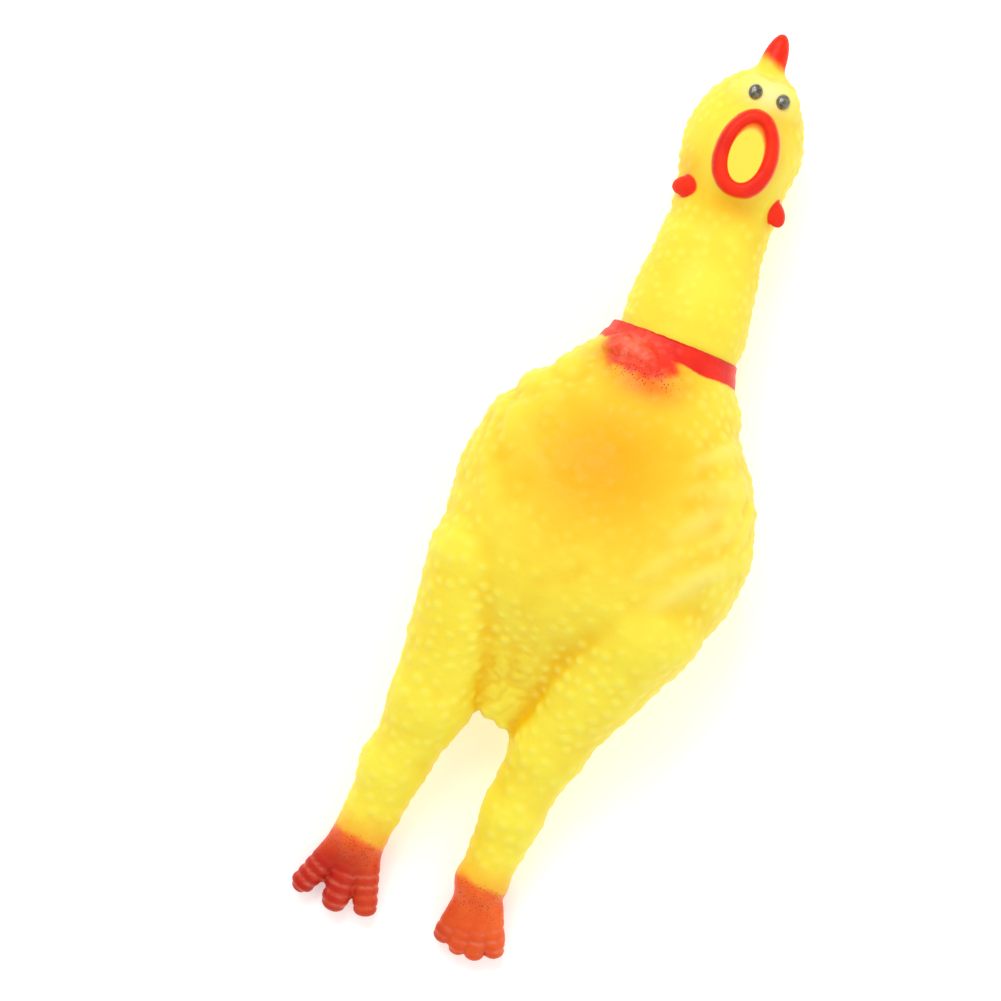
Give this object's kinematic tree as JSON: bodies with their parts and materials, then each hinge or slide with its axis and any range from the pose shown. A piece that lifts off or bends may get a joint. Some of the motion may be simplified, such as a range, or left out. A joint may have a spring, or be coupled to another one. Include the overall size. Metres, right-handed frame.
{
  "type": "rubber chicken",
  "caption": "Soft vinyl squeeze chicken with a screaming reed in its neck, lying on its back, with bending neck, head, hips, knees and ankles and a belly that presses in.",
  "frame": {"origin": "middle of the flat patch on the back, on the surface that the chicken lies on", "axes": "+Y up the body to the head, +Z out of the belly, +X to the chicken's left"},
  "size_m": [0.0558, 0.1684, 0.038],
  "materials": {
    "yellow_vinyl": "glossy soft vinyl, goose-bumped, with orange and red overspray",
    "red_vinyl": "glossy soft vinyl sprayed red over yellow",
    "white_plastic": "moulded, plain",
    "reed_brass": "rolled strip"
  },
  "bodies": {
    "torso": {"torso_skin": "yellow_vinyl"},
    "belly": {"belly_skin": "yellow_vinyl"},
    "neck": {"neck_skin": "yellow_vinyl", "squeaker_barrel": "white_plastic", "squeaker_cap": "white_plastic", "reed_holder": "white_plastic", "reed_wedge": "white_plastic"},
    "reed": {"reed_tongue": "reed_brass"},
    "head": {"head_skin": "yellow_vinyl"},
    "thigh_left": {"thigh_left": "yellow_vinyl"},
    "shank_left": {"shank_left": "yellow_vinyl"},
    "foot_left": {"foot_left": "red_vinyl"},
    "thigh_right": {"thigh_right": "yellow_vinyl"},
    "shank_right": {"shank_right": "yellow_vinyl"},
    "foot_right": {"foot_right": "red_vinyl"}
  },
  "joints": [
    {"name": "belly_squeeze", "type": "slide", "parent": "torso", "child": "belly", "axis": [0, 0, -1], "range_m": [0, 0.0075], "stiffness_N_per_m": 250},
    {"name": "neck_sway", "type": "hinge", "parent": "torso", "child": "neck", "pos_m": [0.0007, 0.0386, 0.014], "axis": [0, 0, 1], "range_deg": [-28, 28], "stiffness_Nm_per_rad": 0.05},
    {"name": "head_nod", "type": "hinge", "parent": "neck", "child": "head", "pos_m": [-0.00039, 0.05807, 0.014], "axis": [0.9984, 0.0558, 0], "range_deg": [-15, 20], "stiffness_Nm_per_rad": 0.03},
    {"name": "reed_flutter", "type": "hinge", "parent": "neck", "child": "reed", "pos_m": [0.00039, 0.04409, 0.01443], "axis": [-0.9984, -0.0558, 0], "range_deg": [0, 5], "stiffness_Nm_per_rad": 0.0001},
    {"name": "hip_splay_left", "type": "hinge", "parent": "torso", "child": "thigh_left", "pos_m": [0.006, -0.036, 0.013], "axis": [0, 0, 1], "range_deg": [-5, 30], "stiffness_Nm_per_rad": 0.04},
    {"name": "knee_bend_left", "type": "hinge", "parent": "thigh_left", "child": "shank_left", "pos_m": [0.00449, -0.05037, 0.00897], "axis": [-0.9945, 0.1045, 0], "range_deg": [0, 45], "stiffness_Nm_per_rad": 0.03},
    {"name": "ankle_bend_left", "type": "hinge", "parent": "shank_left", "child": "foot_left", "pos_m": [0.00308, -0.06378, 0.0052], "axis": [-0.9945, 0.1045, 0], "range_deg": [0, 30], "stiffness_Nm_per_rad": 0.02},
    {"name": "hip_splay_right", "type": "hinge", "parent": "torso", "child": "thigh_right", "pos_m": [-0.0156, -0.036, 0.013], "axis": [0, 0, -1], "range_deg": [-5, 30], "stiffness_Nm_per_rad": 0.04},
    {"name": "knee_bend_right", "type": "hinge", "parent": "thigh_right", "child": "shank_right", "pos_m": [-0.01711, -0.05037, 0.00897], "axis": [-0.9945, 0.1045, 0], "range_deg": [0, 45], "stiffness_Nm_per_rad": 0.03},
    {"name": "ankle_bend_right", "type": "hinge", "parent": "shank_right", "child": "foot_right", "pos_m": [-0.01852, -0.06378, 0.0052], "axis": [-0.9945, 0.1045, 0], "range_deg": [0, 30], "stiffness_Nm_per_rad": 0.02}
  ]
}
